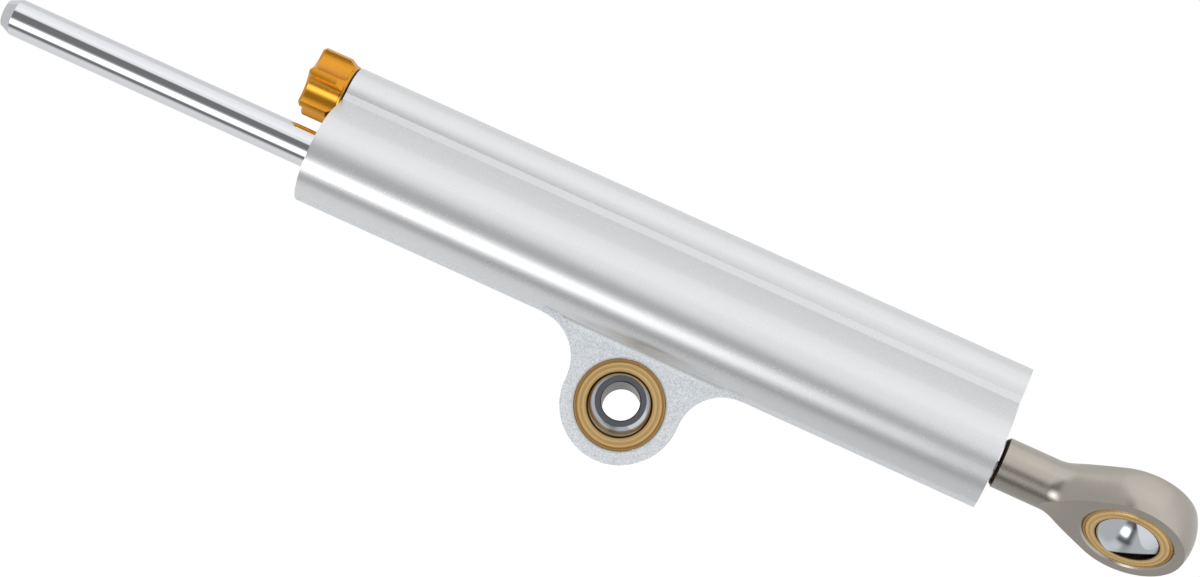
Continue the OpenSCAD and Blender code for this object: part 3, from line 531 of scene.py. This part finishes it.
class DAMPER_OT_stage(bpy.types.Operator):
    """Pale floor, studio light and the camera at the photograph's angle"""

    bl_idname = "damper.stage"
    bl_label = "Stage"

    def execute(self, context):
        scene = context.scene
        stage = scene.damper_stage
        half = stage.floor_size / 2
        mesh = bpy.data.meshes.new("floor")
        z = -stage.floor_drop
        mesh.from_pydata([(-half, -half, z), (half, -half, z), (half, half, z), (-half, half, z)], [],
                         [(0, 1, 2, 3)])
        floor = bpy.data.objects.new("floor", mesh)
        scene.collection.objects.link(floor)
        paper, tree = new_material("White paper")
        rays = add(tree, "ShaderNodeLightPath")
        seen = add(tree, "ShaderNodeMath", links={0: rays.outputs["Is Camera Ray"],
                                                  1: rays.outputs["Is Glossy Ray"]}, operation="MAXIMUM")
        seen = add(tree, "ShaderNodeMath", links={0: seen.outputs[0],
                                                  1: rays.outputs["Is Transmission Ray"]},
                   operation="MAXIMUM")
        fibres = add(tree, "ShaderNodeTexNoise", {"Scale": 1 / (2 * MM), "Detail": 4.0},
                     {"Vector": place(tree)})
        bump = add(tree, "ShaderNodeBump", {"Strength": 0.05, "Distance": 0.05 * MM},
                   {"Height": fibres.outputs["Fac"]})
        lift = add(tree, "ShaderNodeMath", {1: 0.3}, {0: seen.outputs[0]}, operation="MULTIPLY")
        finish_with(tree, add(
            tree, "ShaderNodeBsdfPrincipled",
            {"Base Color": linear(stage.floor_colour), "Roughness": 0.9,
             "Emission Color": (1, 1, 1, 1)},
            {"Normal": bump.outputs[0], "Emission Strength": lift.outputs[0]}))
        mesh.materials.append(paper)
        floor.visible_glossy = False

        world = bpy.data.worlds.new("Studio")
        scene.world = world
        world.use_nodes = True
        tree = world.node_tree
        tree.nodes.clear()
        way = add(tree, "ShaderNodeTexCoord")
        part = add(tree, "ShaderNodeSeparateXYZ", links={0: way.outputs["Generated"]})
        front = add(tree, "ShaderNodeMath", {1: -1.0}, {0: part.outputs["Y"]}, operation="MULTIPLY")
        angle = add(tree, "ShaderNodeMath", links={0: part.outputs["Z"], 1: front.outputs[0]},
                    operation="ARCTAN2")
        flat = add(tree, "ShaderNodeVectorMath", {1: (0, 1, 1)}, {0: way.outputs["Generated"]},
                   operation="MULTIPLY")
        girth = add(tree, "ShaderNodeVectorMath", links={0: flat.outputs[0]}, operation="LENGTH")
        reach = add(tree, "ShaderNodeMath", links={0: part.outputs["X"], 1: girth.outputs["Value"]},
                    operation="DIVIDE")
        turn = add(tree, "ShaderNodeMath", {1: 180 / math.pi}, {0: angle.outputs[0]},
                   operation="MULTIPLY")
        share = add(tree, "ShaderNodeMapRange", {"From Min": -180, "From Max": 180},
                    {"Value": turn.outputs[0]})

        def band(levels):
            """Light level by angle round the rod's line, at a quarter of its strength."""
            return ramp(tree, share.outputs[0], [
                ((at + 180) / 360, (level / 4, level / 4, level / 4, 1)) for at, level in levels])

        # Angles in degrees round the rod's line from straight ahead: floor, black flag, strip lamp
        # in front below, dark room. The strip lamp stands to the left, so two ramps are mixed.
        near = band([(-180, 0.8), (-95, 0.95), (-85, 0.9), (-78, 0.6), (-70, 0.2), (-61, 0.22),
                     (-55, 0.55), (-49, 2.0), (-44, 3.6), (-30, 3.6), (-23, 1.6), (-16, 0.6),
                     (-8, 0.24), (180, 0.14)])
        far = band([(-180, 0.7), (-95, 0.55), (-85, 0.5), (-76, 0.42), (-68, 0.16), (-62, 0.16),
                    (-52, 0.24), (-22, 0.24), (-14, 0.12), (180, 0.12)])
        over = band([(-180, 0.8), (-30, 1.15), (45, 1.12), (70, 1.03), (80, 0.98), (105, 0.9),
                     (124, 0.85), (180, 0.8)])
        side = add(tree, "ShaderNodeMapRange", {"From Min": -0.14, "From Max": 0.03},
                   {"Value": reach.outputs[0]})
        front_walls = blend(tree, side.outputs[0], near, far)
        # Past the strip lamp's two ends pale walls fill the dark room
        offset = add(tree, "ShaderNodeMath", {1: 0.1}, {0: reach.outputs[0]}, operation="ADD")
        aside = add(tree, "ShaderNodeMath", links={0: offset.outputs[0]}, operation="ABSOLUTE")
        end = add(tree, "ShaderNodeMapRange", {"From Min": 0.23, "From Max": 0.46},
                  {"Value": aside.outputs[0]})
        low = blend(tree, end.outputs[0], front_walls, (0.18, 0.18, 0.18, 1))
        # The big overhead lamp's lower edge slopes down to the right
        edge = add(tree, "ShaderNodeMath", {1: 87.0, 2: -5.7}, {0: reach.outputs[0]},
                   operation="MULTIPLY_ADD")
        above = add(tree, "ShaderNodeMath", links={0: turn.outputs[0], 1: edge.outputs[0]},
                    operation="ADD")
        lit_over = add(tree, "ShaderNodeMapRange", {"From Min": -4.0, "From Max": 4.0},
                       {"Value": above.outputs[0]})
        walls = blend(tree, lit_over.outputs[0], low, over)
        rays = add(tree, "ShaderNodeLightPath")
        lit = add(tree, "ShaderNodeBackground", {"Strength": 4 * stage.room_level},
                  {"Color": walls})
        white = add(tree, "ShaderNodeBackground", {"Color": (1, 1, 1, 1), "Strength": 1.0})
        both = add(tree, "ShaderNodeMixShader", links={
            0: rays.outputs["Is Camera Ray"], 1: lit.outputs[0], 2: white.outputs[0]})
        add(tree, "ShaderNodeOutputWorld", links={"Surface": both.outputs[0]})

        centre = middle("housing")
        softbox("overhead", centre + Vector((0, -0.3, 0.9)), centre, (1.6, 1.0), 0.8)

        data = bpy.data.cameras.new("camera")
        camera = bpy.data.objects.new("camera", data)
        scene.collection.objects.link(camera)
        data.lens = stage.lens
        data.sensor_width = 36.0
        data.clip_start = 0.01
        data.clip_end = 50.0
        ahead = (CAMERA_AHEAD + AIM_RIGHT * CAMERA_RIGHT + AIM_DOWN * CAMERA_DOWN).normalized()
        right = (CAMERA_RIGHT - ahead * CAMERA_RIGHT.dot(ahead)).normalized()
        up = right.cross(ahead)
        turn = Matrix((right, up, -ahead)).transposed()
        camera.matrix_world = Matrix.Translation(CAMERA_AT) @ turn.to_4x4()
        scene.camera = camera
        scene.view_settings.view_transform = "Standard"
        return {"FINISHED"}


OPERATORS = (DAMPER_OT_body, DAMPER_OT_rod, DAMPER_OT_bearings, DAMPER_OT_knob, DAMPER_OT_seals,
             DAMPER_OT_inner_parts, DAMPER_OT_stage)


class DAMPER_PT_panel(bpy.types.Panel):
    """Lists the damper's pieces, sizes and colours"""

    bl_label = "Steering Damper"
    bl_idname = "DAMPER_PT_panel"
    bl_space_type = "VIEW_3D"
    bl_region_type = "UI"
    bl_category = "Damper"

    def draw(self, context):
        for group in (context.scene.damper_finish, context.scene.damper_stage):
            for name in group.__annotations__:
                self.layout.prop(group, name)
        for operator in OPERATORS:
            self.layout.operator(operator.bl_idname)


CLASSES = (DamperFinish, DamperStage, *OPERATORS, DAMPER_PT_panel)


def register():
    for cls in CLASSES:
        bpy.utils.register_class(cls)
    bpy.types.Scene.damper_finish = bpy.props.PointerProperty(type=DamperFinish)
    bpy.types.Scene.damper_stage = bpy.props.PointerProperty(type=DamperStage)


def unregister():
    del bpy.types.Scene.damper_stage
    del bpy.types.Scene.damper_finish
    for cls in reversed(CLASSES):
        bpy.utils.unregister_class(cls)


def main():
    register()
    bpy.ops.damper.body()
    bpy.ops.damper.rod()
    bpy.ops.damper.bearings()
    bpy.ops.damper.knob()
    bpy.ops.damper.seals()
    bpy.ops.damper.inner_parts()
    bpy.ops.damper.stage()


if __name__ == "__main__":
    main()
